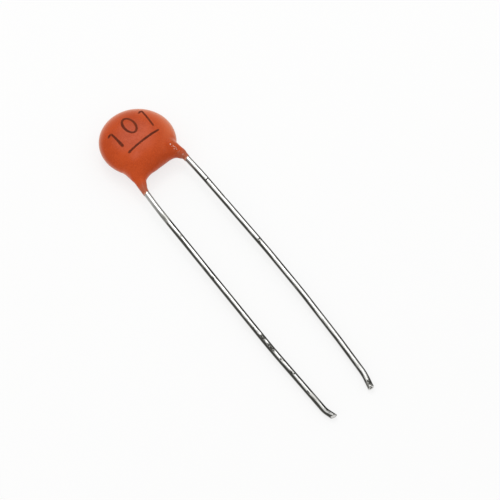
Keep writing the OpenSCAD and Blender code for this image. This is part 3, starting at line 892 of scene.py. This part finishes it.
def underline(a, b, bow, width):
    t = np.linspace(0, 1, LINE_POINTS)[:, None]
    path = np.array(a) * (1 - t) + np.array(b) * t
    path[:, 1] += bow * np.sin(math.pi * t[:, 0])
    return [(spaced(path), width, False)]


# Each stroke has its widths from start to end, as shares of a normal stroke
strokes = one((-1.75, -0.46), -0.05, 0.92, (0.85, 0.95, 1.1, 1.3, 1.25))
strokes += one((1.68, -0.1), 0.06, 1.07, (1.0, 0.9, 0.85, 0.85))
strokes += zero((-0.07, 0.15), (1.05, 1.0, 1.15, 0.95, 1.05))
strokes += underline((-1.75, -1.25), (1.86, -0.68), 0.08, (1.15, 0.95, 1.0, 1.1, 0.9))
ink_points, ink_faces, ink_faint = [], [], []
for path, width, closed in strokes:
    points, faces, faint = ink_stroke(path, width, closed)
    base = sum(len(p) for p in ink_points)
    ink_points.append(points)
    ink_faces += [tuple(base + i for i in f) for f in faces]
    ink_faint.append(faint)
mark = new_piece("stamped_mark", np.concatenate(ink_points), ink_faces, [stamped_ink()],
                 masks={"faint": np.concatenate(ink_faint)})
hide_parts("printed_mark")

# --- Pieces inside ---------------------------------------------------------------------------------------

silver = plain_finish("fired_silver", "#c9c7c1", "#b6b3ab", 0.45, 0.003, 1200, 12000, metallic=1.0)
solder = plain_finish("solder", "#a9abad", "#8f9194", 0.3, 0.006, 1600, 6000, metallic=1.0)
ceramic = plain_finish("fired_ceramic", "#cfc4ad", "#bdb095", 0.7, 0.004, 900, 9000)
inner_finishes = {"ceramic_disc": ceramic, "front_electrode": silver, "rear_electrode": silver,
                  "front_solder": solder, "rear_solder": solder}
for node, inner_finish in inner_finishes.items():
    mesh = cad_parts[node].data
    mesh.materials.clear()
    mesh.materials.append(inner_finish)

# --- Floor, light and camera -----------------------------------------------------------------------------

# How far the floor reaches each way. The floor's size, and the lamps' places and sizes, are in metres.
FLOOR_REACH = 1.5
# How much of the floor shows plain white, so that its shadow stays faint
FLOOR_WHITE = 0.75
ROOM_STRENGTH = 0.88


def studio_floor():
    """A plain pale floor, which shows white and keeps a soft shadow."""
    material = bpy.data.materials.new("pale_floor")
    material.use_nodes = True
    tree = material.node_tree
    tree.nodes.remove(tree.nodes["Principled BSDF"])
    tone = cloudy(tree, "#f9f9f8", "#f7f7f6", drift=15, mottle_scale=400, mottle=0.2)
    matt = add(tree, "ShaderNodeBsdfDiffuse", Color=tone["Colour"]).outputs[0]
    white = add(tree, "ShaderNodeEmission", Color=(1, 1, 1, 1), Strength=1).outputs[0]
    rays = add(tree, "ShaderNodeLightPath").outputs
    mirrored = maths(tree, "MAXIMUM", rays["Is Glossy Ray"], rays["Is Transmission Ray"])
    seen = maths(tree, "MAXIMUM", rays["Is Camera Ray"], mirrored)
    share = times(tree, seen, FLOOR_WHITE)
    both = add(tree, "ShaderNodeMixShader", _0=share, _1=matt, _2=white).outputs[0]
    tree.links.new(both, tree.nodes["Material Output"].inputs["Surface"])
    mesh = bpy.data.meshes.new("floor")
    corners = [(x * FLOOR_REACH, y * FLOOR_REACH, 0) for x, y in ((-1, -1), (1, -1), (1, 1), (-1, 1))]
    mesh.from_pydata(corners, [], [(0, 1, 2, 3)])
    mesh.materials.append(material)
    floor = bpy.data.objects.new("floor", mesh)
    bpy.context.scene.collection.objects.link(floor)


def soft_box(name, place, size, power):
    """A lamp with an even face, size wide and deep, that faces the part."""
    lamp = bpy.data.lights.new(name, "AREA")
    lamp.shape = "RECTANGLE"
    lamp.size, lamp.size_y = size
    lamp.energy = power
    made = bpy.data.objects.new(name, lamp)
    made.location = place
    made.rotation_euler = Vector(place).to_track_quat("Z", "Y").to_euler()
    bpy.context.scene.collection.objects.link(made)


def room_light():
    """Light from all over the ceiling, and a dim room round it."""
    world = bpy.data.worlds.new("room")
    world.use_nodes = True
    tree = world.node_tree
    way = add(tree, "ShaderNodeTexCoord").outputs["Generated"]
    tone = mixed(tree, ranged(tree, split(tree, way)[2], 0.1, 0.5), (0.75, 0.75, 0.75, 1), (1, 1, 1, 1))
    tree.links.new(tone, tree.nodes["Background"].inputs["Color"])
    tree.nodes["Background"].inputs["Strength"].default_value = ROOM_STRENGTH
    bpy.context.scene.world = world


studio_floor()
room_light()
soft_box("key", (0.03, 0.117, 0.211), (0.14, 0.08), 0.075)
soft_box("glint", (0.07, 0.143, 0.2), (0.02, 0.02), 0.02)

# The way that the camera looks, turned from the leads' own direction and down from level
VIEW_TURN = math.radians(-35.3)
VIEW_HEIGHT = math.radians(56.7163)
VIEW_FAR = 200
PIXELS_PER_MM = 11.3
# Width and height of the picture, and the disc's middle in it
IMAGE = 500
MIDDLE_AT = (137.6786, 141.9779)
SENSOR = 36


def view_camera():
    """The camera, set so that the disc's middle falls on its place in the picture."""
    level = math.cos(VIEW_HEIGHT)
    ahead = Vector((-math.sin(VIEW_TURN) * level, math.cos(VIEW_TURN) * level, -math.sin(VIEW_HEIGHT)))
    right = Vector((math.cos(VIEW_TURN), math.sin(VIEW_TURN), 0))
    up = right.cross(ahead)
    off_x = (MIDDLE_AT[0] - IMAGE / 2) / PIXELS_PER_MM
    off_y = (IMAGE / 2 - MIDDLE_AT[1]) / PIXELS_PER_MM
    place = TO_REST @ -(off_x * right + off_y * up + VIEW_FAR * ahead) * MM
    turn = TO_REST.to_3x3() @ Matrix((right, up, -ahead)).transposed()
    camera = bpy.data.cameras.new("view")
    camera.sensor_width = SENSOR
    camera.lens = SENSOR * PIXELS_PER_MM * VIEW_FAR / IMAGE
    camera.clip_start = 0.01
    camera.clip_end = 5
    made = bpy.data.objects.new("view", camera)
    made.matrix_world = Matrix.Translation(place) @ turn.to_4x4()
    bpy.context.scene.collection.objects.link(made)
    bpy.context.scene.camera = made


view_camera()
bpy.context.scene.view_settings.view_transform = "Standard"
